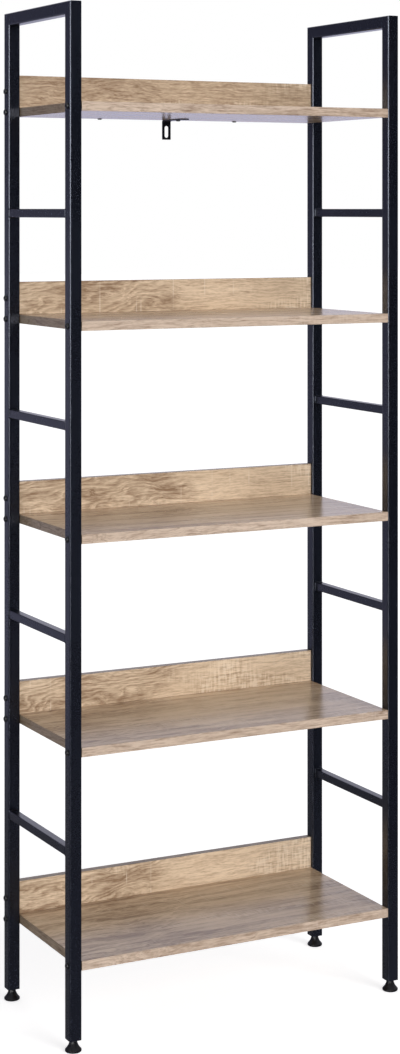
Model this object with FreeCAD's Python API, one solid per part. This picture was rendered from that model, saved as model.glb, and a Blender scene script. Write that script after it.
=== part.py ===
import FreeCAD, Part
import math
import os

# Five-tier shelving unit. Two welded ladder frames of square tube carry laminated shelves,
# each with a low backboard. Millimetres, X to the right, Y to the rear, Z up, floor at Z = 0.

Vector = FreeCAD.Vector
upward = Vector(0, 0, 1)

# Overall sizes over the tubes
frame_width = 647.0
frame_depth = 292.0
frame_top = 1760.0
foot_height = 20.0

# Square tubes
post_size = 22.0
post_wall = 1.2
post_corner = 2.5
rung_size = 15.0
rung_wall = 1.0
rung_corner = 1.5
rung_rise_above_shelf = 181.0
rung_setback = 1.0

# Boards, with the heights of the shelf tops
board_thickness = 16.0
backboard_height = 58.0
top_shelf_height = 1592.0
top_bay_pitch = 369.0
bay_pitch = 357.0
bay_count = 4

# Small round forms that repeat are made with this many flats
head_flats = 12
shank_flats = 6
foot_flats = 24

# Bolts through the posts into the ends of the boards
bolt_diameter = 6.0
bolt_hole_diameter = 6.6
bolt_head_diameter = 11.0
bolt_head_height = 3.0
bolt_bite = 30.0

# Screws from below through a shelf into its backboard
screw_diameter = 4.0
screw_head_diameter = 8.0
screw_head_height = 1.8
screw_bite = 28.0
screw_spacing = 278.0

# Wall bracket bent from strip, under the rear edge of the top shelf
bracket_width = 17.0
bracket_strip = 2.0
bracket_bend = 1.5
bracket_drop = 36.0
bracket_reach = 78.0
bracket_slot_width = 8.0
bracket_slot_length = 22.0
bracket_slot_margin = 3.5
bracket_screw_setback = 50.0
bracket_screw_bite = 12.0

# Levelling feet: plug in the tube end, riveted stud, bell-shaped base
plug_height = 22.0
stud_diameter = 8.0
stud_top = 46.0
rivet_shank_diameter = 6.0
rivet_head_diameter = 11.0
rivet_head_height = 1.8
running_clearance = 0.05
base_diameter = 28.0
base_rim_height = 3.8
base_rim_bevel = 1.2
base_flare_diameter = 24.0
base_flare_height = 6.0
base_shoulder_diameter = 19.9
base_shoulder_height = 8.6
base_waist_diameter = 15.2
base_waist_height = 13.0
base_neck_diameter = 12.6
base_neck_gap = 0.6
base_recess_diameter = 16.0
base_recess_depth = 3.0
base_web_top = 8.0

# Places worked out from the sizes above
post_x = frame_width / 2 - post_size / 2
post_y = frame_depth / 2 - post_size / 2
rung_x = frame_width / 2 - rung_setback - rung_size / 2
shelf_end_x = frame_width / 2 - post_size
rear_face_y = frame_depth / 2
rear_bolt_y = rear_face_y - board_thickness / 2
backboard_front_y = rear_face_y - board_thickness
bracket_top = top_shelf_height - board_thickness
lower_shelf_heights = [top_shelf_height - top_bay_pitch - bay_pitch * n for n in range(bay_count)]
shelf_heights = [top_shelf_height] + lower_shelf_heights
rung_heights = [height + rung_rise_above_shelf for height in lower_shelf_heights]
sides = {"left": -1, "right": 1}
rows = {"front": -1, "rear": 1}


def save(name, shape):
    """Write one node."""
    shape.exportStep("parts/" + name + ".step")


def block(low, high):
    """Box between two opposite corners."""
    size = Vector(*high) - Vector(*low)
    return Part.makeBox(size.x, size.y, size.z, Vector(*low))


def flat_face(corners):
    """Flat face with straight sides."""
    return Part.Face(Part.makePolygon(corners + corners[:1]))


def polygon(flats, diameter, centre, direction):
    """Corners of a regular polygon, on a circle square to a direction."""
    turn = FreeCAD.Rotation(upward, direction)
    corners = []
    for n in range(flats):
        angle = 2 * math.pi * n / flats
        spoke = Vector(math.cos(angle), math.sin(angle), 0) * (diameter / 2)
        corners.append(centre + turn.multVec(spoke))
    return corners


def rod(flats, diameter, start, direction, length):
    """Straight prism with a number of flats, from a start point along a direction."""
    return flat_face(polygon(flats, diameter, start, direction)).extrude(direction * length)


def flat_sided_turning(flats, sections, x, y):
    """Upright solid through regular polygons given by diameter and height, joined by flat faces."""
    polygons = [polygon(flats, diameter, Vector(x, y, height), upward) for diameter, height in sections]
    faces = [flat_face(polygons[0]), flat_face(polygons[-1])]
    for low, high in zip(polygons, polygons[1:]):
        for n in range(flats):
            faces.append(flat_face([low[n - 1], low[n], high[n], high[n - 1]]))
    return Part.Solid(Part.Shell(faces))


def outline(points):
    """Straight edges in the XZ plane through pairs of X and Z."""
    corners = [Vector(x, 0, z) for x, z in points]
    return [Part.LineSegment(a, b).toShape() for a, b in zip(corners, corners[1:])]


def quarter_bend(centre, radius):
    """Quarter circle in the XZ plane, from straight above its centre to the +X side."""
    x, z = centre
    diagonal = radius * math.cos(math.pi / 4)
    points = [(x, z + radius), (x + diagonal, z + diagonal), (x + radius, z)]
    return Part.Arc(*[Vector(px, 0, pz) for px, pz in points]).toShape()


def square_tube(size, wall, corner, length):
    """Hollow square tube on the Z axis, rounded outside, standing on Z = 0."""
    half = size / 2
    bore = half - wall
    outside = block((-half, -half, 0), (half, half, length))
    upright_edges = [edge for edge in outside.Edges if abs(edge.tangentAt(edge.FirstParameter).z) > 0.99]
    outside = outside.makeFillet(corner, upright_edges)
    return outside.cut(block((-bore, -bore, 0), (bore, bore, length)))


def lay_along_y(tube, x, z, length):
    """Turn a tube from Z to Y and centre it on the depth of the unit."""
    tube.rotate(Vector(0, 0, 0), Vector(1, 0, 0), -90)
    tube.translate(Vector(x, -length / 2, z))
    return tube


def mitre_corners(row):
    """Outer and inner corner of a mitred joint at the top of a front or rear post."""
    outer = (row * rear_face_y, frame_top)
    inner = (row * (rear_face_y - post_size), frame_top - post_size)
    return outer, inner


def mitre_cutter(corners, x):
    """Triangle given by its Y and Z corners, thick enough in X to cut a whole tube."""
    points = [Vector(x - post_size, y, z) for y, z in corners]
    return flat_face(points).extrude(Vector(2 * post_size, 0, 0))


def bolt_places(shelf_height):
    """Y and Z of the three bolts on one side of a shelf: front, rear, and backboard."""
    board_middle = shelf_height - board_thickness / 2
    backboard_middle = shelf_height + backboard_height / 2
    return [(-post_y, board_middle), (rear_bolt_y, board_middle), (rear_bolt_y, backboard_middle)]


def make_post(side, row):
    """Post with a mitred top, drilled through for its bolts."""
    x = side * post_x
    post = square_tube(post_size, post_wall, post_corner, frame_top - foot_height)
    post.translate(Vector(x, row * post_y, foot_height))
    outer, inner = mitre_corners(row)
    cutters = [mitre_cutter([outer, (inner[0], outer[1]), inner], x)]
    for shelf_height in shelf_heights:
        for y, z in bolt_places(shelf_height):
            if y * row > 0:
                start = Vector(x - post_size, y, z)
                cutters.append(rod(shank_flats, bolt_hole_diameter, start, Vector(1, 0, 0), 2 * post_size))
    return post.cut(Part.makeCompound(cutters))


def make_top_rail(side):
    """Top rail, mitred into the posts at both ends."""
    x = side * post_x
    tube = square_tube(post_size, post_wall, post_corner, frame_depth)
    rail = lay_along_y(tube, x, frame_top - post_size / 2, frame_depth)
    for row in rows.values():
        outer, inner = mitre_corners(row)
        rail = rail.cut(mitre_cutter([outer, (outer[0], inner[1]), inner], x))
    return rail


def make_rung(side, height):
    """Rung butted between the front and the rear post, near their outer faces."""
    length = frame_depth - 2 * post_size
    tube = square_tube(rung_size, rung_wall, rung_corner, length)
    return lay_along_y(tube, side * rung_x, height, length)


def bolts(shelf_height):
    """Seat, direction and shank of each bolt of one shelf, seats on the outer faces of the posts."""
    found = []
    for side in sides.values():
        inward = Vector(-side, 0, 0)
        for y, z in bolt_places(shelf_height):
            seat = Vector(side * frame_width / 2, y, z)
            shank = rod(shank_flats, bolt_diameter, seat, inward, post_size + bolt_bite)
            found.append((seat, inward, shank))
    return found


def backboard_screws(shelf_height):
    """Seat, direction and shank of each screw of one backboard, seats under the shelf."""
    found = []
    for side in sides.values():
        seat = Vector(side * screw_spacing / 2, rear_bolt_y, shelf_height - board_thickness)
        shank = rod(shank_flats, screw_diameter, seat, upward, board_thickness + screw_bite)
        found.append((seat, upward, shank))
    return found


def bracket_screw():
    """Seat, direction and shank of the screw that holds the bracket under the top shelf."""
    seat = Vector(0, rear_face_y - bracket_screw_setback, bracket_top - bracket_strip)
    length = bracket_strip + bracket_screw_bite
    return seat, upward, rod(shank_flats, screw_diameter, seat, upward, length)


def shanks(fasteners):
    """The shanks of some fasteners as one cutter for what they bite into."""
    return Part.makeCompound([shank for seat, direction, shank in fasteners])


def headed(fasteners, head_diameter, head_height):
    """Fasteners with their heads on, as a group of separate solids."""
    solids = []
    for seat, direction, shank in fasteners:
        head = rod(head_flats, head_diameter, seat - direction * head_height, direction, head_height)
        solids.append(head.fuse(shank))
    return Part.makeCompound(solids)


def make_shelf(height):
    """Shelf with its ends against the posts, bored for its bolts and screws."""
    low = (-shelf_end_x, -rear_face_y, height - board_thickness)
    board = block(low, (shelf_end_x, rear_face_y, height))
    fasteners = bolts(height) + backboard_screws(height)
    if height == top_shelf_height:
        fasteners.append(bracket_screw())
    return board.cut(shanks(fasteners))


def make_backboard(shelf_height):
    """Backboard standing on the rear of a shelf, bored for its bolts and screws."""
    low = (-shelf_end_x, backboard_front_y, shelf_height)
    board = block(low, (shelf_end_x, rear_face_y, shelf_height + backboard_height))
    return board.cut(shanks(bolts(shelf_height) + backboard_screws(shelf_height)))


def make_bracket():
    """Bent strip: one leg forward under the shelf, one slotted leg down at the wall."""
    front = rear_face_y - bracket_reach
    low = bracket_top - bracket_drop
    inside = rear_face_y - bracket_strip
    under = bracket_top - bracket_strip
    bend_y = inside - bracket_bend
    bend_z = under - bracket_bend
    top_edge = outline([(front, bracket_top), (bend_y, bracket_top)])
    outer_bend = quarter_bend((bend_y, bend_z), bracket_bend + bracket_strip)
    wall_leg = outline([(rear_face_y, bend_z), (rear_face_y, low), (inside, low), (inside, bend_z)])
    inner_bend = quarter_bend((bend_y, bend_z), bracket_bend)
    lower_edge = outline([(bend_y, under), (front, under), (front, bracket_top)])
    edges = top_edge + [outer_bend] + wall_leg + [inner_bend] + lower_edge
    strip = Part.Face(Part.Wire(edges)).extrude(Vector(0, bracket_width, 0))
    strip.rotate(Vector(0, 0, 0), upward, 90)
    strip.translate(Vector(bracket_width / 2, 0, 0))
    slot_low = low + bracket_slot_margin
    return strip.cut(wall_slot(slot_low, slot_low + bracket_slot_length)).cut(shanks([bracket_screw()]))


def wall_slot(low, high):
    """Round-ended upright slot, as a cutter through the wall leg."""
    radius = bracket_slot_width / 2
    start_y = rear_face_y - 2 * bracket_strip
    depth = 3 * bracket_strip
    cutter = block((-radius, start_y, low + radius), (radius, start_y + depth, high - radius))
    for z in (low + radius, high - radius):
        cutter = cutter.fuse(Part.makeCylinder(radius, depth, Vector(0, start_y, z), Vector(0, 1, 0)))
    return cutter


def make_foot_plug(x, y):
    """Plug that fills the end of a post, with the bore for the stud."""
    half = post_size / 2 - post_wall
    plug = block((x - half, y - half, foot_height), (x + half, y + half, foot_height + plug_height))
    bore_radius = stud_diameter / 2 + running_clearance
    return plug.cut(Part.makeCylinder(bore_radius, plug_height, Vector(x, y, foot_height)))


def make_foot_stud(x, y):
    """Stud with a shouldered lower end, riveted over inside the recess of the base."""
    shoulder = base_web_top + running_clearance
    head_top = base_recess_depth - running_clearance
    body = Part.makeCylinder(stud_diameter / 2, stud_top - shoulder, Vector(x, y, shoulder))
    shank = Part.makeCylinder(rivet_shank_diameter / 2, shoulder - head_top, Vector(x, y, head_top))
    head_low = Vector(x, y, head_top - rivet_head_height)
    head = rod(head_flats, rivet_head_diameter, head_low, upward, rivet_head_height)
    return body.fuse([shank, head])


def foot_bore(diameter, x, y, low, high):
    """Upright hole in a base, with room for a turning pin of some diameter inside its flats."""
    across_corners = (diameter + 2 * running_clearance) / math.cos(math.pi / foot_flats)
    return rod(foot_flats, across_corners, Vector(x, y, low), upward, high - low)


def make_foot_base(x, y):
    """Bell-shaped base: rim, flare and tapered neck, bored for the stud and recessed underneath."""
    neck_top = foot_height - base_neck_gap
    sections = [(base_diameter - 2 * base_rim_bevel, 0), (base_diameter, base_rim_bevel),
                (base_diameter, base_rim_height), (base_flare_diameter, base_flare_height),
                (base_shoulder_diameter, base_shoulder_height), (base_waist_diameter, base_waist_height),
                (base_neck_diameter, neck_top)]
    bell = flat_sided_turning(foot_flats, sections, x, y)
    recess = rod(foot_flats, base_recess_diameter, Vector(x, y, 0), upward, base_recess_depth)
    shank_hole = foot_bore(rivet_shank_diameter, x, y, 0, base_web_top)
    stud_bore = foot_bore(stud_diameter, x, y, base_web_top, neck_top)
    return bell.cut([recess, shank_hole, stud_bore])


os.makedirs("parts", exist_ok=True)

for side_name, side in sides.items():
    for row_name, row in rows.items():
        corner_name = side_name + "_" + row_name
        save(corner_name + "_post", make_post(side, row))
        save(corner_name + "_foot_plug", make_foot_plug(side * post_x, row * post_y))
        save(corner_name + "_foot_stud", make_foot_stud(side * post_x, row * post_y))
        save(corner_name + "_foot_base", make_foot_base(side * post_x, row * post_y))
    save(side_name + "_top_rail", make_top_rail(side))
    for number, height in enumerate(rung_heights, 1):
        save(side_name + "_rung_" + str(number), make_rung(side, height))

for number, height in enumerate(shelf_heights, 1):
    save("shelf_" + str(number), make_shelf(height))
    save("backboard_" + str(number), make_backboard(height))
    save("shelf_bolts_" + str(number), headed(bolts(height), bolt_head_diameter, bolt_head_height))
    save("backboard_screws_" + str(number),
         headed(backboard_screws(height), screw_head_diameter, screw_head_height))

save("wall_bracket", make_bracket())
save("bracket_screw", headed([bracket_screw()], screw_head_diameter, screw_head_height))
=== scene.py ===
"""Five-tier shelving unit: oak-look boards between two black ladder frames.

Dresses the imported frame. Metres throughout, +X to the right, +Y to the rear, +Z up, floor at Z = 0.
"""

import math
from contextlib import contextmanager

import bmesh
import bpy
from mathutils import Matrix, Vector


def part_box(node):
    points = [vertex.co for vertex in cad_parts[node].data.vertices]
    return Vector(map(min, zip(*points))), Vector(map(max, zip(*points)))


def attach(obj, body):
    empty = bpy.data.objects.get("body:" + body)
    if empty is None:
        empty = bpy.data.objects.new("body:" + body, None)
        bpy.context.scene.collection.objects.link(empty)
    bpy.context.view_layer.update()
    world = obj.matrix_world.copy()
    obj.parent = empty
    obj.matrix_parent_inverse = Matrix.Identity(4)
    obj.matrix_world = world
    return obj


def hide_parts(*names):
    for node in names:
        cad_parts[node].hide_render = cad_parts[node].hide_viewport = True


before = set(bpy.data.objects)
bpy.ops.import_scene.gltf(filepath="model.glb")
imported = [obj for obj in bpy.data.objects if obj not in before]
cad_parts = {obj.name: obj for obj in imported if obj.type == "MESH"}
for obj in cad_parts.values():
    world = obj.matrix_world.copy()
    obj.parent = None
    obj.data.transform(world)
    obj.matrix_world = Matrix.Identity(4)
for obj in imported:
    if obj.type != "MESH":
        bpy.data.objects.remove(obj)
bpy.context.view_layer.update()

bl_info = {
    "name": "Ladder-frame shelving unit",
    "version": (1, 0, 0),
    "blender": (4, 5, 0),
    "location": "View3D > Sidebar > Shelving",
    "description": "Boards, fixings, feet and finishes of a five-tier shelving unit",
    "category": "Object",
}

TIERS = range(1, 6)
RUNGS = range(1, 5)
SIDES = {"left": -1, "right": 1}
CORNERS = ("left_front", "left_rear", "right_front", "right_rear")
ROOT = "frame"

X, Y, Z = range(3)
UP = Vector((0, 0, 1))
QUARTER_TURN = math.pi / 2
HALF_TURN = math.pi
FULL_TURN = 2 * math.pi
BLACK = (0, 0, 0)
WHITE = (1, 1, 1)

# Where each tier's backboard starts along the printed figure, in metres
BACKBOARD_CUTS = {1: 21.3, 2: 10.9, 3: 0.5, 4: 31.7, 5: 29.7}


# Settings that a user would change


def length(name, description, default):
    """Size in metres."""
    return bpy.props.FloatProperty(
        name=name, description=description, default=default, min=0, unit="LENGTH", precision=5
    )


def share(name, description, default):
    """Number between 0 and 1."""
    return bpy.props.FloatProperty(
        name=name, description=description, default=default, min=0, max=1, subtype="FACTOR"
    )


def brightness(name, description, default):
    """Strength of a light, 0 or more."""
    return bpy.props.FloatProperty(name=name, description=description, default=default, min=0)


def angle(name, description, degrees):
    """Angle, given in degrees."""
    return bpy.props.FloatProperty(
        name=name, description=description, default=math.radians(degrees), subtype="ANGLE"
    )


def colour(name, description, default):
    """Linear colour."""
    return bpy.props.FloatVectorProperty(
        name=name, description=description, default=default, size=3, min=0, soft_max=1, subtype="COLOR"
    )


class BoardSettings(bpy.types.PropertyGroup):
    """Sizes of the shelves and backboards that the frame doesn't give"""

    arris: length("Arris", "Radius on the edges of a board", 0.0006)
    bolt_bore: length("Bolt bore", "Diameter of the bores for the bolts", 0.006)
    screw_bore: length("Screw bore", "Diameter of the bores for the screws", 0.004)


class OakSettings(bpy.types.PropertyGroup):
    """Printed oak laminate"""

    pale: colour("Pale", "Palest wood between the fibres", (0.78, 0.585, 0.42))
    middle: colour("Middle", "Main tone of the wood", (0.68, 0.50, 0.35))
    dark: colour("Dark", "Late wood and pores", (0.27, 0.165, 0.10))
    chalk: colour("Chalk", "Light marks left by the saw", (0.82, 0.68, 0.55))
    ring_spacing: length("Ring spacing", "Mean distance between the bands of the figure", 0.013)
    cut_spacing: length("Cut spacing", "Mean distance between the pale saw cuts", 0.055)
    sway: length("Sway", "How far the grain sways to the side", 0.03)
    roughness: share("Roughness", "Roughness of the satin laminate", 0.24)


class CoatSettings(bpy.types.PropertyGroup):
    """Black powder coat, plastic and fastener finishes"""

    powder: colour("Powder", "Colour of the powder coat", (0.0034, 0.0042, 0.0075))
    powder_sheen: colour("Powder sheen", "Tint of the powder coat's reflections", (0.78, 0.83, 1.0))
    powder_gloss: share("Powder gloss", "Strength of the powder coat's reflections", 0.80)
    powder_roughness: share("Powder roughness", "Roughness of the powder coat", 0.28)
    peel: length("Orange peel", "Size of the ripples in the powder coat", 0.0012)
    plastic: colour("Plastic", "Colour of plugs and foot bases", (0.0045, 0.0045, 0.0055))
    oxide: colour("Black oxide", "Colour of bolts and screws", (0.018, 0.018, 0.020))
    zinc: colour("Zinc", "Colour of the plated studs", (0.56, 0.57, 0.58))


class FixingSettings(bpy.types.PropertyGroup):
    """Bolts, screws and the wall bracket"""

    bolt_head: length("Bolt head", "Diameter of a button head", 0.011)
    bolt_crown: length("Bolt crown", "Diameter of the flat on top of a button head", 0.0056)
    bolt_rim: length("Bolt rim", "Height of the straight rim of a button head", 0.0005)
    bolt_bite: length("Bolt bite", "Length of a bolt inside its board", 0.030)
    socket: length("Socket", "Width of the hexagon socket across its flats", 0.004)
    socket_depth: length("Socket depth", "Depth of the hexagon socket", 0.0018)
    screw_head: length("Screw head", "Diameter of a pan head", 0.008)
    screw_crown: length("Screw crown", "Diameter of the flat on top of a pan head", 0.0044)
    screw_rim: length("Screw rim", "Height of the straight rim of a pan head", 0.00063)
    recess_width: length("Recess width", "Width of one arm of the cross recess", 0.0010)
    recess_span: length("Recess span", "Length of the cross recess from end to end", 0.0046)
    recess_depth: length("Recess depth", "Depth of the cross recess", 0.0011)
    strip: length("Strip", "Thickness of the bracket's strip", 0.002)
    bend: length("Bend", "Inner radius of the bracket's bend", 0.0015)
    strip_corner: length("Strip corner", "Radius on the corners of the strip", 0.0012)
    slot_width: length("Slot width", "Width of the wall slot", 0.008)
    slot_length: length("Slot length", "Length of the wall slot", 0.022)
    slot_margin: length("Slot margin", "Strip below the wall slot", 0.0035)
    bracket_setback: length("Setback", "Bracket screw to the rear face of the shelf", 0.050)
    weld: length("Weld", "Radius of the weld beads round the rungs", 0.0013)


class FootSettings(bpy.types.PropertyGroup):
    """Levelling feet"""

    rim_bevel: length("Rim bevel", "Bevel under the rim of a base", 0.0012)
    rim_top: length("Rim top", "Height of the rim", 0.0038)
    neck: length("Neck", "Radius at the top of the neck", 0.0063)
    edge: length("Edge", "Rounding on the edges of a base", 0.0005)
    recess: length("Recess", "Radius of the recess underneath", 0.008)
    recess_depth: length("Recess depth", "Depth of the recess underneath", 0.003)
    web_top: length("Web top", "Height of the web that the rivet holds", 0.008)
    stud: length("Stud", "Radius of the stud", 0.004)
    rivet: length("Rivet", "Radius of the riveted end", 0.003)
    rivet_head: length("Rivet head", "Radius of the rivet head", 0.0055)
    rivet_flat: length("Rivet flat", "Radius of the flat under the rivet head", 0.0044)
    rivet_head_height: length("Rivet head height", "Height of the rivet head", 0.0018)
    clearance: length("Clearance", "Running clearance of the riveted stud", 0.00005)
    pitch: length("Pitch", "Pitch of the stud's thread", 0.00125)
    thread_depth: length("Thread depth", "Depth of the stud's thread", 0.0007)
    thread_width: length("Thread width", "Width of the thread at its root", 0.00105)


class StageSettings(bpy.types.PropertyGroup):
    """Floor, light and camera"""

    floor: colour("Floor", "Colour of the floor", (0.74, 0.74, 0.74))
    floor_size: length("Floor size", "Width of the floor", 80.0)
    far_floor: colour("Far floor", "Colour of the floor away from the unit", (0.50, 0.50, 0.50))
    floor_glow: colour("Floor glow", "Glow that makes the floor show white", (0.69, 0.69, 0.70))
    far_glow: colour("Far glow", "The same glow away from the unit", (0.82, 0.82, 0.82))
    near_sheen: colour("Near sheen", "Floor by the unit in reflections", (0.16, 0.16, 0.19))
    far_sheen: colour("Far sheen", "Floor away from the unit in reflections", (0.30, 0.30, 0.42))
    front_sheen: colour("Front sheen", "Floor in front of the unit in reflections", (0.13, 0.13, 0.155))
    right_sheen: colour("Right sheen", "Floor at the far right in reflections", (0.87, 0.87, 1.13))
    backdrop: colour("Backdrop", "Rear right of the room in reflections", (0.80, 0.79, 0.94))
    rear_left: colour("Rear left", "Rear left of the room in reflections", (0.14, 0.14, 0.22))
    front_wall: colour("Front wall", "Room behind the camera in reflections", (0.035, 0.039, 0.054))
    right_wall: colour("Right wall", "Upper right of the room in reflections", (0.45, 0.45, 0.50))
    ceiling: colour("Ceiling", "Ceiling in reflections", (0.6, 0.6, 0.65))
    softbox: brightness("Softbox", "Brightness of the window at the front left, in reflections", 13.0)
    key: brightness("Key", "Light that the key lamp gives a surface that faces it", 0.78)
    key_turn: angle("Key turn", "Direction of the key lamp, to the right of the front", 14)
    key_rise: angle("Key rise", "Height of the key lamp above the horizon", 17)
    lamp_width: angle("Lamp width", "Apparent width of the lamps", 36)
    fill: brightness("Fill", "Light that the fill lamp gives a surface that faces the rear", 0.40)
    ambient: brightness("Ambient", "Light from all round", 0.31)
    camera_place: bpy.props.FloatVectorProperty(
        name="Camera place",
        description="Where the camera stands",
        default=(-1.7899, -3.4744, 1.4102),
        size=3,
        subtype="TRANSLATION",
        unit="LENGTH",
    )
    camera_turn: angle("Camera turn", "Level camera, turned to the right of straight ahead", 27.2)
    lens: bpy.props.FloatProperty(
        name="Lens", description="Focal length on a 36 mm image height", default=74.29, unit="CAMERA"
    )
    camera_rise: bpy.props.FloatProperty(
        name="Camera rise",
        description="Upward shift of the lens, as a share of the image",
        default=-0.3011,
    )


class ShelvingSettings(bpy.types.PropertyGroup):
    """All settings of the shelving unit"""

    boards: bpy.props.PointerProperty(type=BoardSettings)
    oak: bpy.props.PointerProperty(type=OakSettings)
    coat: bpy.props.PointerProperty(type=CoatSettings)
    fixings: bpy.props.PointerProperty(type=FixingSettings)
    feet: bpy.props.PointerProperty(type=FootSettings)
    stage: bpy.props.PointerProperty(type=StageSettings)


# Modelling steps


def deselect():
    """Leave no object selected."""
    bpy.ops.object.select_all(action="DESELECT")


def activate(piece):
    """Leave one piece selected and active."""
    deselect()
    piece.select_set(True)
    bpy.context.view_layer.objects.active = piece


def named(piece, name):
    """Give a piece and its data one name."""
    piece.name = name
    piece.data.name = name
    return piece


def new_piece(name):
    """The object that was just added, under its own name."""
    return named(bpy.context.object, name)


def settle(piece):
    """Put a piece's place, turn and size into its mesh."""
    activate(piece)
    bpy.ops.object.transform_apply(location=True, rotation=True, scale=True)


@contextmanager
def editing(piece):
    """Edit mode on one piece, with everything in it selected."""
    activate(piece)
    bpy.ops.object.mode_set(mode="EDIT")
    bpy.ops.mesh.select_mode(type="VERT")
    bpy.ops.mesh.select_all(action="SELECT")
    yield
    bpy.ops.object.mode_set(mode="OBJECT")


def pick(piece, kind, test):
    """In edit mode, select only the vertices, edges or faces that pass a test."""
    bpy.ops.mesh.select_mode(type=kind)
    bpy.ops.mesh.select_all(action="DESELECT")
    mesh = bmesh.from_edit_mesh(piece.data)
    for item in {"VERT": mesh.verts, "EDGE": mesh.edges, "FACE": mesh.faces}[kind]:
        if test(item):
            item.select_set(True)
    mesh.select_flush_mode()
    bmesh.update_edit_mesh(piece.data)


def close_up(merge=1e-6):
    """In edit mode, weld what meets and turn all faces outwards."""
    bpy.ops.mesh.select_all(action="SELECT")
    bpy.ops.mesh.remove_doubles(threshold=merge)
    bpy.ops.mesh.normals_make_consistent(inside=False)


def modify(piece, kind, **settings):
    """Add one modifier and apply it."""
    activate(piece)
    modifier = piece.modifiers.new(kind.lower(), kind)
    for name, value in settings.items():
        setattr(modifier, name, value)
    bpy.ops.object.modifier_apply(modifier=modifier.name)


def cut_away(piece, cutter):
    """Take the shape of a cutter out of a piece."""
    modify(piece, "BOOLEAN", operation="DIFFERENCE", solver="EXACT", object=cutter)
    bpy.data.objects.remove(cutter)


def join(pieces, name):
    """Several pieces as one object."""
    activate(pieces[0])
    for piece in pieces:
        piece.select_set(True)
    bpy.ops.object.join()
    return new_piece(name)


def copy_to(model, place, turn=(0, 0, 0)):
    """Copy of a model with its own mesh, turned and set down at a place."""
    activate(model)
    bpy.ops.object.duplicate()
    piece = bpy.context.object
    piece.location = place
    piece.rotation_euler = turn
    settle(piece)
    return piece


def smooth(piece, degrees=35):
    """Smooth shading that keeps edges sharper than an angle, with flat faces kept flat."""
    activate(piece)
    bpy.ops.object.shade_smooth_by_angle(angle=math.radians(degrees))
    modify(piece, "WEIGHTED_NORMAL", keep_sharp=True)


def block(name, low, high):
    """Block between two corners."""
    deselect()
    bpy.ops.mesh.primitive_cube_add(size=1, location=(low + high) / 2)
    piece = new_piece(name)
    piece.scale = high - low
    settle(piece)
    return piece


def rod(name, radius, start, end, sides=24):
    """Straight rod between two points."""
    span = Vector(end) - Vector(start)
    deselect()
    bpy.ops.mesh.primitive_cylinder_add(
        vertices=sides,
        radius=radius,
        depth=span.length,
        location=(Vector(start) + Vector(end)) / 2,
        rotation=span.to_track_quat("Z", "Y").to_euler(),
    )
    piece = new_piece(name)
    settle(piece)
    return piece


def turned(name, profile, steps, closed=False):
    """Piece spun about the Z axis from a chain of radius and height pairs."""
    deselect()
    bpy.ops.mesh.primitive_plane_add(size=1)
    piece = new_piece(name)
    points = [Vector((radius, 0, height)) for radius, height in profile]
    with editing(piece):
        bpy.ops.mesh.merge(type="CENTER")
        bpy.ops.transform.translate(value=points[0])
        for start, end in zip(points, points[1:]):
            bpy.ops.mesh.extrude_vertices_move(TRANSFORM_OT_translate={"value": end - start})
        if closed:
            pick(piece, "VERT", lambda vert: len(vert.link_edges) == 1)
            bpy.ops.mesh.edge_face_add()
        bpy.ops.mesh.select_all(action="SELECT")
        bpy.ops.mesh.spin(steps=steps, angle=FULL_TURN, center=(0, 0, 0), axis=UP)
        close_up()
    return piece


def crowned(rim, rim_height, crown, top, steps):
    """Quarter ellipse from a head's rim up to the flat on its crown, as radius and height pairs."""
    turns = [QUARTER_TURN * step / steps for step in range(steps + 1)]
    return [
        (crown + (rim - crown) * math.cos(turn), rim_height + (top - rim_height) * math.sin(turn))
        for turn in turns
    ]


def hand_over(piece, body, slot, *nodes):
    """Let a finished piece ride on its body and stand for its nodes; its slot is not used."""
    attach(piece, body)
    if nodes:
        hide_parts(*nodes)


# Materials


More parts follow.
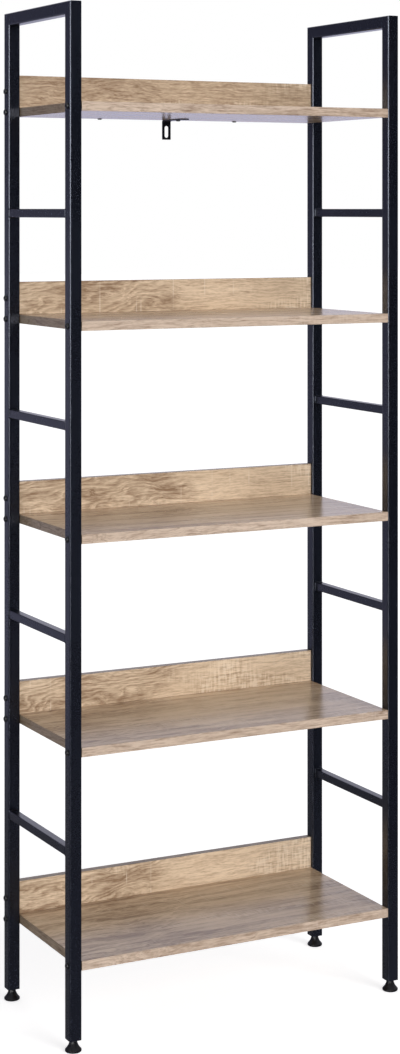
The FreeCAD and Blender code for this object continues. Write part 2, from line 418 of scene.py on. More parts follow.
class Wire:
    """A socket in a node tree. Arithmetic on it adds the nodes that work it out."""

    def __init__(self, tree, socket=None):
        self.tree = tree
        self.socket = socket

    def node(self, kind, settings=None, inputs=None, output=0):
        """Add a node by type, with its settings and then its values or links; give one output."""
        node = self.tree.nodes.new(kind)
        for name, value in (settings or {}).items():
            setattr(node, name, value)
        for name, value in (inputs or {}).items():
            if isinstance(value, Wire):
                self.tree.links.new(value.socket, node.inputs[name])
            else:
                node.inputs[name].default_value = value
        return Wire(self.tree, node.outputs[output])

    def output(self, name):
        """Another output of the same node."""
        return Wire(self.tree, self.socket.node.outputs[name])

    def feed(self, node, name):
        """Link this socket to an input of a node."""
        self.tree.links.new(self.socket, node.inputs[name])

    def maths(self, operation, *values):
        """Math node on some values."""
        return self.node("ShaderNodeMath", {"operation": operation}, dict(enumerate(values)))

    def __add__(self, other):
        return self.maths("ADD", self, other)

    def __radd__(self, other):
        return self.maths("ADD", other, self)

    def __sub__(self, other):
        return self.maths("SUBTRACT", self, other)

    def __rsub__(self, other):
        return self.maths("SUBTRACT", other, self)

    def __mul__(self, other):
        return self.maths("MULTIPLY", self, other)

    def __rmul__(self, other):
        return self.maths("MULTIPLY", other, self)

    def fraction(self):
        """What is left after the whole number."""
        return self.maths("FRACT", self)

    def larger(self, other):
        """The larger of two values."""
        return self.maths("MAXIMUM", self, other)

    def ease(self, low, high):
        """0 below one value, 1 above another, and a smooth step between."""
        values = {"Value": self, "From Min": low, "From Max": high}
        return self.node("ShaderNodeMapRange", {"interpolation_type": "SMOOTHSTEP"}, values)

    def scatter(self, spacing):
        """Distance to the nearest of points scattered along this length, as a share of their spacing."""
        values = {"W": self * (1 / spacing), "Scale": 1.0}
        return self.node("ShaderNodeTexVoronoi", {"voronoi_dimensions": "1D"}, values, "Distance")

    def vector_maths(self, operation, *values, output="Vector"):
        """Vector Math node on some vectors."""
        settings = {"operation": operation}
        return self.node("ShaderNodeVectorMath", settings, dict(enumerate(values)), output)

    def towards(self, heading):
        """How far this vector reaches along a heading."""
        return self.vector_maths("DOT_PRODUCT", self, heading, output="Value")

    def reach(self):
        """Length of this vector."""
        return self.vector_maths("LENGTH", self, output="Value")

    def noise(self, cells, detail=2.0, roughness=0.5):
        """Noise on this vector, with so many cells to the metre along each axis."""
        stretched = self.vector_maths("MULTIPLY", self, cells)
        values = {"Vector": stretched, "Scale": 1.0, "Detail": detail, "Roughness": roughness}
        return self.node("ShaderNodeTexNoise", None, values)

    def parts(self):
        """X, Y and Z of this vector."""
        first = self.node("ShaderNodeSeparateXYZ", None, {"Vector": self})
        return first, first.output("Y"), first.output("Z")

    def blend(self, first, second):
        """Mix of two colours by this factor."""
        factor, a, b, result = 0, 6, 7, 2
        settings = {"data_type": "RGBA", "clamp_factor": True}
        values = {factor: self, a: opaque(first), b: opaque(second)}
        return self.node("ShaderNodeMix", settings, values, result)

    def vary(self, tone, first, second):
        """A colour that this factor takes from one share of itself to another."""
        return self.blend(scaled(tone, first), scaled(tone, second))

    def bump(self, strength, distance):
        """Bump normal from this height."""
        values = {"Height": self, "Strength": strength, "Distance": distance}
        return self.node("ShaderNodeBump", None, values, "Normal")


def opaque(value):
    """A colour with its alpha, or a wire as it is."""
    return value if isinstance(value, Wire) else (*value, 1.0)


def scaled(tone, factor):
    """A colour made lighter or darker."""
    return [channel * factor for channel in tone]


def tinted(tone, tint):
    """A colour seen through a tint."""
    return [channel * let_through for channel, let_through in zip(tone, tint)]


def blank(name):
    """New material, with a wire on its Object coordinates and its shader."""
    material = bpy.data.materials.new(name)
    material.use_nodes = True
    tree = material.node_tree
    place = Wire(tree).node("ShaderNodeTexCoord", output="Object")
    return material, place, tree.nodes["Principled BSDF"]


def flame_figure(grain, rightwards, ring_spacing):
    """Flames in the print: where they are, mostly at the left, the swell of the rings, their darkness."""
    along, deep, across = grain.parts()
    zone = (grain.noise((2.6, 6, 6), detail=1.0) - rightwards * 1.6).ease(0.43, 0.59)
    swell = grain.noise((8, 18, 18), detail=2.0)
    phase = ((deep + across) * (1 / ring_spacing) - along * 16 + swell * 9).fraction()
    lines = phase.ease(0.05, 0.65) * (1 - phase.ease(0.72, 1.0))
    clouds = grain.noise((9, 30, 30), detail=2.0).ease(0.42, 0.62)
    return zone, swell, (lines * 0.30 + clouds * 0.34) * zone


def saw_marks(grain, drawn, rightwards, cut_spacing):
    """Marks of the saw: where it hatched the wood, mostly at the right, the hatching, and pale cuts."""
    hatched = (grain.noise((4.5, 14, 14), detail=1.0) + rightwards * 0.5).ease(0.50, 0.66)
    uprights = grain.noise((300, 55, 55), detail=0.0)
    levels = drawn.noise((50, 330, 330), detail=0.0)
    hatching = (uprights + levels - 1.0) * hatched
    along, _, _ = grain.parts()
    cut_patches = grain.noise((5, 20, 20), detail=1.0).ease(0.50, 0.66)
    cuts = (1 - along.scatter(cut_spacing).ease(0.004, 0.03)) * cut_patches
    return hatched, hatching, cuts


def oak_laminate(name, oak, shift, tint, turn=0.0, figure=1.0, bands=0.3, gloss=0.5):
    """Sawn oak print with its grain along X before it is turned.

    The figure is the strength of flames and saw marks, and bands that of long streaks along the grain;
    the less the figure, the stronger the painted light and shade across the unit.
    """
    material, place, shader = blank(name)
    cut_from_print = {"Vector": place, "Location": shift, "Rotation": (0, 0, turn)}
    grain = place.node("ShaderNodeMapping", None, cut_from_print)
    rightwards, _, height = place.parts()
    top_board = height.ease(1.4, 1.5)

    zone, swell, flames = flame_figure(grain, rightwards, oak.ring_spacing)
    flames = flames * (1 - top_board * 0.6)
    sway = (swell - 0.5) * (0.35 + zone * 0.9)
    drawn = grain.vector_maths("MULTIPLY_ADD", sway, (0, oak.sway, oak.sway), grain)
    streaks = drawn.noise((22, 350, 350), detail=2.0, roughness=0.65)
    fibres = drawn.noise((110, 800, 800), detail=1.0)
    long_bands = drawn.noise((5, 70, 70), detail=1.0)
    patches = grain.noise((2.4, 17, 17), detail=2.0).ease(0.32, 0.68)
    hatched, hatching, cuts = saw_marks(grain, drawn, rightwards, oak.cut_spacing)
    hatching = hatching * figure
    cuts = cuts * figure * (1 - top_board)

    # How much each layer darkens the ground
    # Painted light and shade: bands, and less so shelf faces, lighter at the left and on the upper tiers,
    # darker at the right and near the floor
    painted_light_slope = (rightwards * 0.4 + (0.9 - height) * 0.18) * (1 - figure)
    shade = 0.20 + painted_light_slope + (streaks - 0.5) * (2.3 - 0.7 * figure)
    shade += (fibres - 0.5) * 0.8
    shade += (long_bands - 0.5) * bands
    shade += (zone * 0.06 + flames) * figure + top_board * (0.14 + 0.15 * figure) - hatching * 0.6

    ground = patches.blend(tinted(oak.middle, tint), tinted(oak.pale, tint))
    stained = shade.blend(ground, tinted(oak.dark, tint))
    chalked = (cuts * 0.42).larger(hatching.ease(-0.05, 0.25) * hatched * 0.35)
    chalked.blend(stained, tinted(oak.chalk, tint)).feed(shader, "Base Color")
    (oak.roughness + (fibres - 0.5) * 0.06).feed(shader, "Roughness")
    (streaks * 0.5 + fibres * 0.5).bump(strength=0.008, distance=0.0002).feed(shader, "Normal")
    shader.inputs["Specular IOR Level"].default_value = gloss
    return material


def powder_coat(coat):
    """Black satin powder coat with a fine orange peel."""
    material, place, shader = blank("black_powder_coat_finish")
    peel = place.noise((1 / coat.peel,) * 3, detail=1.0)
    drift = place.noise((16, 16, 6), detail=3.0)
    drift.ease(0.3, 0.7).vary(coat.powder, 0.85, 1.15).feed(shader, "Base Color")
    (coat.powder_roughness + (drift - 0.5) * 0.10 + (peel - 0.5) * 0.05).feed(shader, "Roughness")
    peel.bump(strength=0.06, distance=0.0002).feed(shader, "Normal")
    shader.inputs["Specular IOR Level"].default_value = coat.powder_gloss
    shader.inputs["Specular Tint"].default_value = opaque(coat.powder_sheen)
    return material


def moulded_plastic(coat):
    """Black moulded plastic with a fine spark-eroded grain."""
    material, place, shader = blank("black_plastic_finish")
    grain = place.noise((1500, 1500, 1500), detail=2.0)
    flow = place.noise((60, 60, 120), detail=2.0)
    flow.vary(coat.plastic, 0.85, 1.2).feed(shader, "Base Color")
    (0.36 + (flow - 0.5) * 0.12 + (grain - 0.5) * 0.10).feed(shader, "Roughness")
    grain.bump(strength=0.08, distance=0.0001).feed(shader, "Normal")
    shader.inputs["Specular IOR Level"].default_value = 0.4
    return material


def black_oxide(coat):
    """Oiled black oxide on steel fasteners."""
    material, place, shader = blank("black_oxide_finish")
    bloom = place.noise((420, 420, 420), detail=3.0)
    bloom.ease(0.3, 0.7).vary(coat.oxide, 0.7, 1.4).feed(shader, "Base Color")
    (0.34 + (bloom - 0.5) * 0.16).feed(shader, "Roughness")
    bloom.bump(strength=0.05, distance=0.0001).feed(shader, "Normal")
    shader.inputs["Specular IOR Level"].default_value = 0.6
    return material


def zinc_plate(coat):
    """Bright zinc on the turned studs, with fine turning marks."""
    material, place, shader = blank("zinc_plate_finish")
    marks = place.noise((120, 120, 5200), detail=1.0)
    bloom = place.noise((260, 260, 260), detail=3.0)
    bloom.vary(coat.zinc, 0.8, 1.1).feed(shader, "Base Color")
    (0.26 + (bloom - 0.5) * 0.2 + (marks - 0.5) * 0.1).feed(shader, "Roughness")
    marks.bump(strength=0.06, distance=0.0001).feed(shader, "Normal")
    shader.inputs["Metallic"].default_value = 1.0
    return material


def finish(piece, *materials):
    """Give a piece its materials in place of what it has."""
    piece.data.materials.clear()
    for material in materials:
        piece.data.materials.append(material)


def finish_by_normal(piece, axis, slot):
    """In edit mode, give the faces that look along an axis, either way, the material in a slot."""
    piece.active_material_index = slot
    pick(piece, "FACE", lambda face: max((X, Y, Z), key=lambda n: abs(face.normal[n])) == axis)
    bpy.ops.object.material_slot_assign()


# Pieces


def bolt_seats(tier):
    """Seat and outward side of each bolt of one tier, on the outer faces of the posts."""
    low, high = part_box(f"shelf_bolts_{tier}")
    reach = bpy.context.scene.shelving.fixings.bolt_head / 2
    front, rear = low.y + reach, high.y - reach
    board_middle, backboard_middle = low.z + reach, high.z - reach
    places = ((front, board_middle), (rear, board_middle), (rear, backboard_middle))
    seats = []
    for side_name, side in SIDES.items():
        post_low, post_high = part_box(f"{side_name}_front_post")
        x = post_high.x if side > 0 else post_low.x
        seats += [(Vector((x, y, z)), side) for y, z in places]
    return seats


def screw_seats(tier):
    """Seats of the two screws of one backboard, under its shelf."""
    reach = bpy.context.scene.shelving.fixings.screw_head / 2
    low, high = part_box(f"backboard_screws_{tier}")
    seat_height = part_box(f"shelf_{tier}")[0].z
    return [Vector((x, (low.y + high.y) / 2, seat_height)) for x in (low.x + reach, high.x - reach)]


def bracket_screw_seat():
    """Seat of the screw under the wall bracket."""
    settings = bpy.context.scene.shelving.fixings
    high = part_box("wall_bracket")[1]
    return Vector((0, high.y - settings.bracket_setback, high.z - settings.strip))


def shank_length():
    """Length of a bolt's shank: from a post's outer face to its tip inside the board."""
    low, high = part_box("left_front_post")
    return high.x - low.x + bpy.context.scene.shelving.fixings.bolt_bite


def bores(tier, settings):
    """One cutter for all bores of a tier's shelf and backboard."""
    bolt_length = shank_length()
    screw_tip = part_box(f"backboard_screws_{tier}")[1].z
    cutters = []
    for seat, side in bolt_seats(tier):
        tip = seat - Vector((side * bolt_length, 0, 0))
        cutters.append(rod("bolt_bore", settings.bolt_bore / 2, seat, tip))
    for seat in screw_seats(tier):
        start = seat - UP * settings.screw_bore
        cutters.append(rod("screw_bore", settings.screw_bore / 2, start, (seat.x, seat.y, screw_tip)))
    if tier == 1:
        seat = bracket_screw_seat()
        tip = Vector((seat.x, seat.y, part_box("bracket_screw")[1].z))
        cutters.append(rod("bracket_bore", settings.screw_bore / 2, seat, tip))
    return join(cutters, "bores")


def oak_board(node, tier, laminates):
    """Board with rounded arrises and bores, and a laminate for each axis that its faces look along."""
    settings = bpy.context.scene.shelving.boards
    low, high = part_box(node)
    piece = block(f"oak_{node}", low, high)
    with editing(piece):
        bpy.ops.mesh.bevel(offset=settings.arris, segments=3, affect="EDGES")
    cut_away(piece, bores(tier, settings))
    finish(piece, *laminates.values())
    with editing(piece):
        close_up()
        for slot, axis in enumerate(laminates):
            finish_by_normal(piece, axis, slot)
    smooth(piece)
    hand_over(piece, ROOT, "oak_laminate", node)


def button_bolt(settings, head_height, bolt_length):
    """Button-head bolt standing on its tip, seat at Z = 0, with a hexagon socket."""
    rim = settings.bolt_head / 2
    shank = bpy.context.scene.shelving.boards.bolt_bore / 2
    lead = shank / 4
    profile = [(0, -bolt_length), (shank - lead, -bolt_length), (shank, lead - bolt_length), (shank, 0)]
    profile += [(rim, 0)]
    profile += crowned(rim, settings.bolt_rim, settings.bolt_crown / 2, head_height, steps=8)
    profile += [(0, head_height)]
    bolt = turned("button_bolt", profile, steps=32)
    hexagon = 6
    corner = settings.socket / 2 / math.cos(math.pi / hexagon)
    floor = head_height - settings.socket_depth
    cut_away(bolt, rod("socket", corner, (0, 0, floor), (0, 0, 2 * head_height), hexagon))
    smooth(bolt)
    return bolt


def pan_screw(settings, head_height, screw_length):
    """Pan-head screw standing on its tip, seat at Z = 0, with a cross recess."""
    rim = settings.screw_head / 2
    shank = bpy.context.scene.shelving.boards.screw_bore / 2
    point = 2 * shank
    profile = [(0, -screw_length), (shank, point - screw_length), (shank, 0), (rim, 0)]
    profile += crowned(rim, settings.screw_rim, settings.screw_crown / 2, head_height, steps=6)
    profile += [(0, head_height)]
    screw = turned("pan_screw", profile, steps=24)
    half_span, half_width = settings.recess_span / 2, settings.recess_width / 2
    floor = head_height - settings.recess_depth
    for x, y in ((half_span, half_width), (half_width, half_span)):
        cut_away(screw, block("recess", Vector((-x, -y, floor)), Vector((x, y, 2 * head_height))))
    smooth(screw)
    return screw


def bent_strip(settings):
    """Wall bracket: strip drawn out flat, bent down at the wall, thickened, slotted and bored."""
    low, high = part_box("wall_bracket")
    near = settings.strip / 10

    def at_wall(vert):
        return vert.co.y > high.y - near

    def at_bend(vert):
        return at_wall(vert) and vert.co.z > high.z - near

    def at_end(vert):
        return vert.co.y < low.y + near or vert.co.z < low.z + near

    deselect()
    bpy.ops.mesh.primitive_plane_add(size=1, location=(0, (low.y + high.y) / 2, high.z))
    piece = new_piece("strip_bracket")
    piece.scale = (high.x - low.x, high.y - low.y, 1)
    settle(piece)
    with editing(piece):
        pick(piece, "EDGE", lambda edge: all(at_wall(vert) for vert in edge.verts))
        bpy.ops.mesh.extrude_region_move(TRANSFORM_OT_translate={"value": (0, 0, low.z - high.z)})
        pick(piece, "VERT", at_end)
        bpy.ops.mesh.bevel(offset=settings.strip_corner, segments=4, affect="VERTICES")
        pick(piece, "EDGE", lambda edge: all(at_bend(vert) for vert in edge.verts))
        bpy.ops.mesh.bevel(offset=settings.bend + settings.strip, segments=8, affect="EDGES")
        close_up()
    modify(piece, "SOLIDIFY", thickness=settings.strip, offset=-1, use_even_offset=True)
    cut_away(piece, wall_slot(settings, low, high))
    seat = bracket_screw_seat()
    below, above = seat - UP * settings.strip, seat + UP * 2 * settings.strip
    cut_away(piece, rod("strip_bore", bpy.context.scene.shelving.boards.screw_bore / 2, below, above))
    smooth(piece)
    return piece


def wall_slot(settings, low, high):
    """Round-ended cutter for the slot: a rod whose upper half is drawn upwards."""
    radius = settings.slot_width / 2
    height = low.z + settings.slot_margin + radius
    start = Vector((0, high.y - 2 * settings.strip, height))
    end = Vector((0, high.y + settings.strip, height))
    cutter = rod("wall_slot", radius, start, end, sides=40)
    with editing(cutter):
        pick(cutter, "VERT", lambda vert: vert.co.z > height)
        bpy.ops.transform.translate(value=(0, 0, settings.slot_length - settings.slot_width))
    return cutter


def foot_bell(settings):
    """Bell-shaped base on the Z axis: rim, curved flare, neck, bore for the stud, recess underneath."""
    low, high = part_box("left_front_foot_base")
    rim = (high.x - low.x) / 2
    top = high.z
    flare = []
    steps = 14
    for step in range(steps + 1):
        rise = step / steps
        radius = settings.neck + (rim - settings.neck) * (1 - rise) ** 2
        flare.append((radius, settings.rim_top + (top - settings.rim_top) * rise))
    bore = settings.stud + settings.clearance
    rivet_bore = settings.rivet + settings.clearance
    profile = [(settings.recess, 0), (rim - settings.rim_bevel, 0), (rim, settings.rim_bevel)]
    profile += flare + [(bore, top), (bore, settings.web_top)]
    profile += [(rivet_bore, settings.web_top), (rivet_bore, settings.recess_depth)]
    profile += [(settings.recess, settings.recess_depth)]
    bell = turned("foot_bell", profile, steps=48, closed=True)
    sharp = math.radians(38)
    modify(bell, "BEVEL", width=settings.edge, segments=3, limit_method="ANGLE", angle_limit=sharp)
    smooth(bell, degrees=50)
    return bell


def threaded_stud(settings):
    """Stud on the Z axis: rivet head, plain neck in the base and a threaded length above it."""
    low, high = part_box("left_front_foot_stud")
    neck_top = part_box("left_front_foot_base")[1].z
    shoulder = settings.web_top + settings.clearance
    head_edge = low.z + settings.rivet_head_height / 2
    head_top = settings.recess_depth - settings.clearance
    root = settings.stud - settings.thread_depth
    lead = settings.thread_depth
    profile = [(0, low.z), (settings.rivet_flat, low.z), (settings.rivet_head, head_edge)]
    profile += [(settings.rivet_head, head_top), (settings.rivet, head_top), (settings.rivet, shoulder)]
    profile += [(settings.stud, shoulder), (settings.stud, neck_top - lead), (root, neck_top)]
    profile += [(root, high.z - lead), (root - lead, high.z), (0, high.z)]
    core = turned("threaded_stud", profile, steps=32)
    smooth(core)
    return join([core, thread(settings, neck_top, high.z)], "threaded_stud")


def thread(settings, start, end):
    """Closed triangular coil wound up the stud, its inner edge sunk in the core."""
    crest = settings.stud
    half = settings.thread_width / 2
    sunk = crest - settings.thread_depth - half / 2
    base = start + settings.pitch
    deselect()
    bpy.ops.mesh.primitive_circle_add(vertices=3, radius=half, rotation=(QUARTER_TURN, 0, 0))
    coil = new_piece("thread")
    settle(coil)
    corners = ((crest, 0), (sunk, -half), (sunk, half))
    for vert, (radius, height) in zip(coil.data.vertices, corners):
        vert.co = (radius, 0, base + height)
    turns = int((end - start) / settings.pitch) - 1
    winding = {"screw_offset": settings.pitch, "iterations": turns, "steps": 24, "render_steps": 24}
    modify(coil, "SCREW", axis="Z", angle=FULL_TURN, **winding)
    with editing(coil):
        bpy.ops.mesh.fill_holes(sides=3)
        close_up(merge=1e-7)
    return coil


def weld_bead(settings, size):
    """Rounded bead round a square tube, flat on the XZ plane about the origin."""
    corner = size / 8
    deselect()
    bpy.ops.mesh.primitive_plane_add(size=size, rotation=(QUARTER_TURN, 0, 0))
    bead = new_piece("weld_bead")
    settle(bead)
    with editing(bead):
        bpy.ops.mesh.bevel(offset=corner, segments=4, affect="VERTICES")
        bpy.ops.mesh.select_all(action="SELECT")
        bpy.ops.mesh.delete(type="ONLY_FACE")
        bpy.ops.mesh.select_all(action="SELECT")
        bpy.ops.mesh.subdivide(number_cuts=2)
    bpy.ops.object.convert(target="CURVE")
    bpy.context.object.data.bevel_depth = settings.weld
    bpy.context.object.data.bevel_resolution = 2
    bpy.ops.object.convert(target="MESH")
    bead = new_piece("weld_bead")
    with editing(bead):
        close_up()
    smooth(bead, degrees=60)
    return bead


# Stage


def lay_floor(stage):
    """Pale floor: white around the unit but for its shadow, with its own tones in reflections."""
    deselect()
    bpy.ops.mesh.primitive_plane_add(size=stage.floor_size)
    floor = new_piece("studio_floor")
    material, place, shader = blank("pale_floor")
    shader.inputs["Roughness"].default_value = 1.0
    shader.inputs["Specular IOR Level"].default_value = 0.0
    shader.inputs["Emission Strength"].default_value = 1.0

    far = place.reach().ease(0.7, 2.5)
    near_floor = place.noise((3, 3, 3), detail=3.0).vary(stage.floor, 0.99, 1.0)
    paint = far.blend(near_floor, stage.far_floor)
    camera = place.node("ShaderNodeLightPath", output="Is Camera Ray")
    direct = camera.larger(camera.output("Is Transmission Ray"))
    glow = direct.blend(BLACK, far.blend(stage.floor_glow, stage.far_glow))
    reflected = camera.output("Is Glossy Ray")
    reflected.blend(paint, BLACK).feed(shader, "Base Color")
    reflected.blend(glow, floor_sheen(place, stage)).feed(shader, "Emission Color")
    finish(floor, material)


def floor_sheen(place, stage):
    """Floor in reflections: dark in front of the unit, paler behind it and palest at the far right."""
    rightwards, forwards = place.towards((1, 0.5, 0)), place.towards((0, -1, 0))
    behind = place.reach().ease(1.2, 3.2).blend(stage.near_sheen, stage.far_sheen)
    behind = rightwards.ease(1.5, 6.0).blend(behind, stage.right_sheen)
    before = rightwards.ease(-0.4, 0.5).vary(stage.front_sheen, 1.0, 0.35)
    return forwards.ease(0.0, 1.6).blend(behind, before)


def light_room(scene, stage):
    """World: even ambient light, white where it is seen, and the tones of a room in reflections."""
    world = bpy.data.worlds.new("studio_room")
    world.use_nodes = True
    world.cycles.sampling_method = "NONE"
    scene.world = world
    tree = world.node_tree
    direction = Wire(tree).node("ShaderNodeTexCoord", output="Generated")
    camera = direction.node("ShaderNodeLightPath", output="Is Camera Ray")
    direct = camera.larger(camera.output("Is Transmission Ray"))
    reflected = camera.output("Is Glossy Ray")
    light = reflected.blend((stage.ambient,) * 3, room_tones(direction, stage))
    direct.blend(light, WHITE).feed(tree.nodes["Background"], "Color")


def room_tones(direction, stage):
    """Room in reflections: dark front, window at the front left, paler rear, right wall and ceiling."""
    rear_heading, window_heading = (-0.55, 1, 0), (-0.67, -0.74, 0)
    across, _, rise = direction.parts()
    rear = across.ease(-0.30, 0.25).blend(stage.rear_left, stage.backdrop)
    front = across.ease(0.36, 0.54).vary(stage.front_wall, 1.0, 0.5)
    upper_right = across.ease(0.58, 0.80) * rise.ease(0.05, 0.15)
    front = upper_right.blend(front, stage.right_wall)
    walls = direction.towards(rear_heading).ease(-0.35, 0.55).blend(front, rear)
    window = direction.towards(window_heading).ease(0.70, 0.90) * (1 - rise.ease(0.08, 0.16))
    walls = window.blend(walls, (stage.softbox,) * 3)
    return rise.ease(0.35, 0.85).blend(walls, stage.ceiling)


def add_lamps(stage):
    """Broad soft key lamp from the front, and a level fill lamp from the rear."""
    add_sun("key_lamp", stage.key, stage.lamp_width, (QUARTER_TURN - stage.key_rise, 0, stage.key_turn))
    add_sun("fill_lamp", stage.fill, stage.lamp_width, (QUARTER_TURN, 0, HALF_TURN))


def add_sun(name, light, width, turn):
    """Lamp with parallel light that isn't seen in reflections."""
    deselect()
    bpy.ops.object.light_add(type="SUN", rotation=turn)
    lamp = new_piece(name)
    lamp.data.energy = light * math.pi
    lamp.data.angle = width
    lamp.visible_glossy = False


def place_camera(scene, stage):
    """Level camera, with the lens shifted down to frame the unit."""
    deselect()
    bpy.ops.object.camera_add(location=stage.camera_place, rotation=(QUARTER_TURN, 0, -stage.camera_turn))
    camera = new_piece("front_left_camera")
    camera.data.sensor_fit = "VERTICAL"
    camera.data.sensor_height = camera.data.sensor_width
    camera.data.lens = stage.lens
    camera.data.shift_y = stage.camera_rise
    camera.data.dof.use_dof = False
    scene.camera = camera


# Operators


class SHELVING_OT_coat_frames(bpy.types.Operator):
    """Coat the posts, rails and rungs of both ladder frames, and finish the foot plugs"""

    bl_idname = "shelving.coat_frames"
    bl_label = "Coat Frames"

    def execute(self, context):
        coat = context.scene.shelving.coat
        powder, plastic = powder_coat(coat), moulded_plastic(coat)
        for name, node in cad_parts.items():
            if name.endswith(("_post", "_top_rail")) or "_rung_" in name:
                finish(node, powder)
            elif name.endswith("_foot_plug"):
                finish(node, plastic)
        return {"FINISHED"}


class SHELVING_OT_add_welds(bpy.types.Operator):
    """Add the weld beads where the rungs meet the posts"""

    bl_idname = "shelving.add_welds"
    bl_label = "Add Welds"

    def execute(self, context):
        low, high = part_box("left_rung_1")
        model = weld_bead(context.scene.shelving.fixings, high.x - low.x)
        finish(model, bpy.data.materials["black_powder_coat_finish"])
        for side in SIDES:
            beads = []
            for number in RUNGS:
                low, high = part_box(f"{side}_rung_{number}")
                middle = (low + high) / 2
                beads += [copy_to(model, (middle.x, y, middle.z)) for y in (low.y, high.y)]
            hand_over(join(beads, f"{side}_weld_beads"), ROOT, "black_powder_coat")
        bpy.data.objects.remove(model)
        return {"FINISHED"}


class SHELVING_OT_add_boards(bpy.types.Operator):
    """Add the shelves and their backboards"""

    bl_idname = "shelving.add_boards"
    bl_label = "Add Boards"

    def execute(self, context):
        oak = context.scene.shelving.oak
        shelf = oak_laminate(
            "oak_shelf_face", oak, shift=(1.7, 0.3, 0.0), tint=(0.86, 0.87, 0.84), figure=0.7, bands=1.9
        )
        # The edge band's tint is raised in part as painted light on the front edges
        edge = oak_laminate(
            "oak_edge_band", oak, shift=(7.3, 1.6, 0.5), tint=(0.90, 0.95, 1.06), figure=0.2
        )
        top = oak_laminate(
            "oak_top_band", oak, shift=(5.2, 2.7, 0.1), tint=(0.45, 0.50, 0.56), figure=0.2, gloss=0.1
        )
        # The end band's darker tint is painted shade on the board ends
        end = oak_laminate(
            "oak_end_band",
            oak,
            shift=(2.9, 5.0, 0.7),
            tint=(0.74, 0.74, 0.72),
            turn=-QUARTER_TURN,
            figure=0.2,
        )
        for tier, start in BACKBOARD_CUTS.items():
            face = oak_laminate(
                f"oak_backboard_face_{tier}", oak, shift=(start, 0.9, 0.2), tint=(1.02, 1.065, 1.07)
            )
            oak_board(f"shelf_{tier}", tier, {Z: shelf, Y: edge, X: end})
            oak_board(f"backboard_{tier}", tier, {Y: face, Z: top, X: end})
        return {"FINISHED"}


class SHELVING_OT_add_bolts(bpy.types.Operator):
    """Add the button-head bolts that hold the boards between the posts"""

    bl_idname = "shelving.add_bolts"
    bl_label = "Add Bolts"

    def execute(self, context):
        head_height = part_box("left_front_post")[0].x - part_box("shelf_bolts_1")[0].x
        model = button_bolt(context.scene.shelving.fixings, head_height, shank_length())
        finish(model, black_oxide(context.scene.shelving.coat))
        for tier in TIERS:
            bolts = [copy_to(model, seat, (0, side * QUARTER_TURN, 0)) for seat, side in bolt_seats(tier)]
            piece = join(bolts, f"button_bolts_{tier}")
            hand_over(piece, ROOT, "black_fasteners", f"shelf_bolts_{tier}")
        bpy.data.objects.remove(model)
        return {"FINISHED"}


class SHELVING_OT_add_screws(bpy.types.Operator):
    """Add the screws under the backboards and under the wall bracket"""

    bl_idname = "shelving.add_screws"
    bl_label = "Add Screws"

    def execute(self, context):
        settings = context.scene.shelving.fixings
        oxide = bpy.data.materials["black_oxide_finish"]
        head_down = (HALF_TURN, 0, 0)

        low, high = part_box("backboard_screws_1")
        seat_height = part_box("shelf_1")[0].z
        model = pan_screw(settings, seat_height - low.z, high.z - seat_height)
        finish(model, oxide)
        for tier in TIERS:
            screws = [copy_to(model, seat, head_down) for seat in screw_seats(tier)]
            piece = join(screws, f"pan_screws_{tier}")
            hand_over(piece, ROOT, "black_fasteners", f"backboard_screws_{tier}")
        bpy.data.objects.remove(model)

        low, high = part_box("bracket_screw")
        seat = bracket_screw_seat()
        model = pan_screw(settings, seat.z - low.z, high.z - seat.z)
        finish(model, oxide)
        piece = named(copy_to(model, seat, head_down), "strip_bracket_screw")
        hand_over(piece, ROOT, "black_fasteners", "bracket_screw")
        bpy.data.objects.remove(model)
        return {"FINISHED"}


class SHELVING_OT_add_bracket(bpy.types.Operator):
    """Add the slotted wall bracket under the top shelf"""

    bl_idname = "shelving.add_bracket"
    bl_label = "Add Bracket"

    def execute(self, context):
        piece = bent_strip(context.scene.shelving.fixings)
        finish(piece, bpy.data.materials["black_powder_coat_finish"])
        hand_over(piece, ROOT, "black_powder_coat", "wall_bracket")
        return {"FINISHED"}


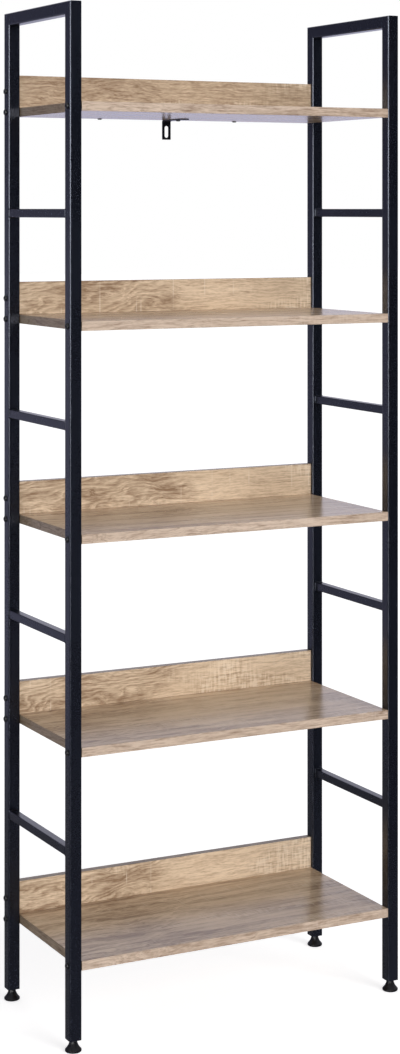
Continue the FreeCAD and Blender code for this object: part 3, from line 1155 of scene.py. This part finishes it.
class SHELVING_OT_add_feet(bpy.types.Operator):
    """Add the levelling feet: bell-shaped bases and threaded studs"""

    bl_idname = "shelving.add_feet"
    bl_label = "Add Feet"

    def execute(self, context):
        settings = context.scene.shelving
        bell, stud = foot_bell(settings.feet), threaded_stud(settings.feet)
        finish(bell, bpy.data.materials["black_plastic_finish"])
        finish(stud, zinc_plate(settings.coat))
        parts = ((bell, "foot_base", "black_plastic"), (stud, "foot_stud", "zinc_steel"))
        for corner in CORNERS:
            low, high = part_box(f"{corner}_foot_base")
            place = ((low.x + high.x) / 2, (low.y + high.y) / 2, 0)
            for model, part, slot in parts:
                piece = named(copy_to(model, place), f"{corner}_{model.name}")
                hand_over(piece, f"{corner}_{part}", slot, f"{corner}_{part}")
        bpy.data.objects.remove(bell)
        bpy.data.objects.remove(stud)
        return {"FINISHED"}


class SHELVING_OT_set_stage(bpy.types.Operator):
    """Lay the floor, set the lights and place the camera"""

    bl_idname = "shelving.set_stage"
    bl_label = "Set Stage"

    def execute(self, context):
        stage = context.scene.shelving.stage
        context.scene.view_settings.view_transform = "Standard"
        lay_floor(stage)
        light_room(context.scene, stage)
        add_lamps(stage)
        place_camera(context.scene, stage)
        return {"FINISHED"}


# Add-on

OPERATORS = (
    SHELVING_OT_coat_frames,
    SHELVING_OT_add_welds,
    SHELVING_OT_add_boards,
    SHELVING_OT_add_bolts,
    SHELVING_OT_add_screws,
    SHELVING_OT_add_bracket,
    SHELVING_OT_add_feet,
    SHELVING_OT_set_stage,
)


class SHELVING_PT_pieces(bpy.types.Panel):
    """Pieces of the shelving unit, in the order in which they are made"""

    bl_idname = "SHELVING_PT_pieces"
    bl_label = "Shelving Unit"
    bl_space_type = "VIEW_3D"
    bl_region_type = "UI"
    bl_category = "Shelving"

    def draw(self, context):
        for operator in OPERATORS:
            self.layout.operator(operator.bl_idname)


GROUPS = (
    BoardSettings,
    OakSettings,
    CoatSettings,
    FixingSettings,
    FootSettings,
    StageSettings,
    ShelvingSettings,
)
CLASSES = GROUPS + OPERATORS + (SHELVING_PT_pieces,)


def register():
    for cls in CLASSES:
        bpy.utils.register_class(cls)
    bpy.types.Scene.shelving = bpy.props.PointerProperty(type=ShelvingSettings)


def unregister():
    del bpy.types.Scene.shelving
    for cls in reversed(CLASSES):
        bpy.utils.unregister_class(cls)


def main():
    """Make every piece in order."""
    register()
    bpy.ops.shelving.coat_frames()
    bpy.ops.shelving.add_welds()
    bpy.ops.shelving.add_boards()
    bpy.ops.shelving.add_bolts()
    bpy.ops.shelving.add_screws()
    bpy.ops.shelving.add_bracket()
    bpy.ops.shelving.add_feet()
    bpy.ops.shelving.set_stage()


if __name__ == "__main__":
    main()
